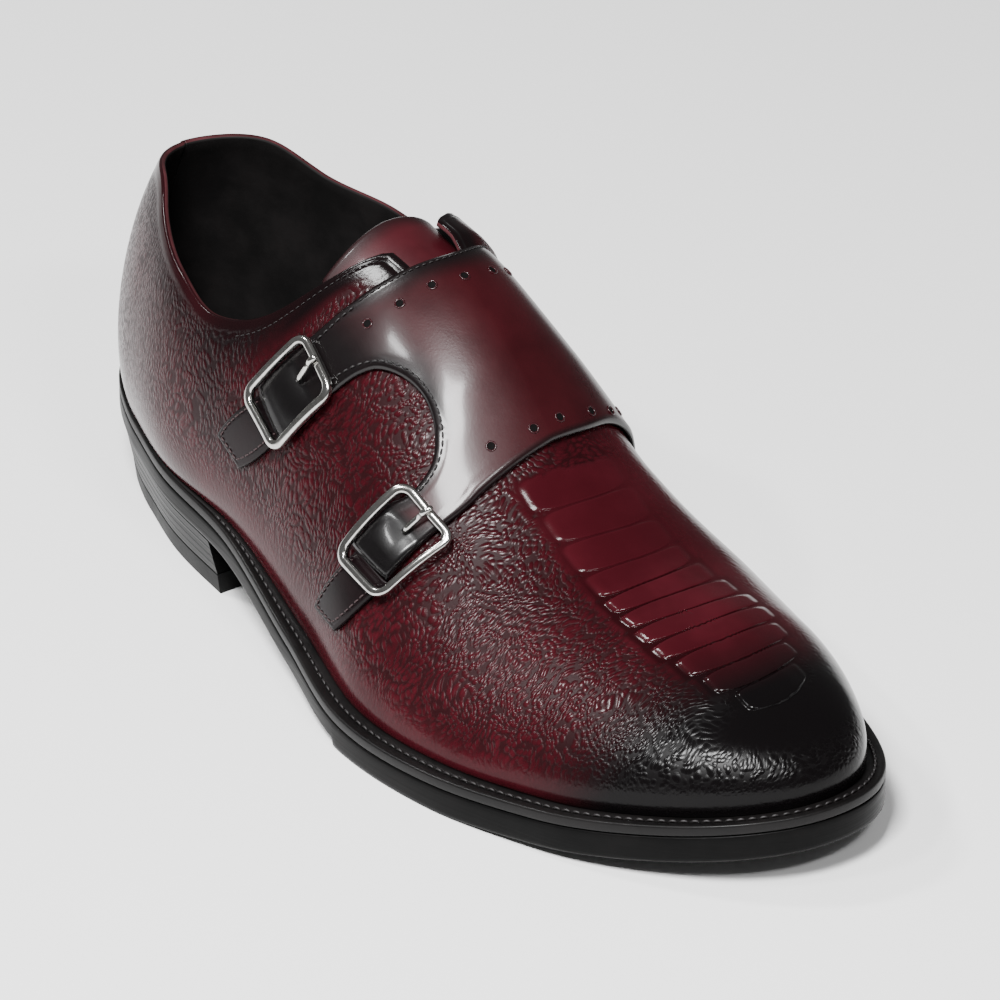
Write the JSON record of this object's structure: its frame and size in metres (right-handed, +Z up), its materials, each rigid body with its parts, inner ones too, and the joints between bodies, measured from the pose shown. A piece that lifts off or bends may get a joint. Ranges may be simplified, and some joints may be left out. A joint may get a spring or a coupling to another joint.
{
  "type": "monk strap shoe",
  "caption": "Men's leather shoe with a wide buckled strap over the instep, welted sole and stacked heel, right foot",
  "frame": {"origin": "middle of the bounding box, on the floor", "axes": "+X from heel to toe, +Y to the medial side, +Z up"},
  "size_m": [0.295, 0.1172, 0.1069],
  "materials": {
    "upper_leather": "pebbled grain, semi-gloss, burnished darker at toe and heel",
    "tongue_leather": "smooth semi-gloss",
    "insole_leather": "matt lining leather",
    "welt_leather": "black, stitched along its top",
    "sole_leather": "black satin edge",
    "heel_stack": "black satin, stacked layers",
    "heel_rubber": "black rubber",
    "strap_leather": "smooth semi-gloss, burnished nearly black at its edges and arms",
    "tab_leather": "black smooth leather, stitched round its edge",
    "buckle_metal": "polished silver colour"
  },
  "bodies": {
    "root": {"upper": "upper_leather", "tongue": "tongue_leather", "insole": "insole_leather", "welt": "welt_leather", "outsole": "sole_leather", "heel_block": "heel_stack", "heel_top_lift": "heel_rubber", "strap_overlay": "strap_leather", "rear_tab": "tab_leather", "front_tab": "tab_leather", "rear_buckle": "buckle_metal", "front_buckle": "buckle_metal", "rear_prong": "buckle_metal", "front_prong": "buckle_metal"}
  },
  "joints": []
}
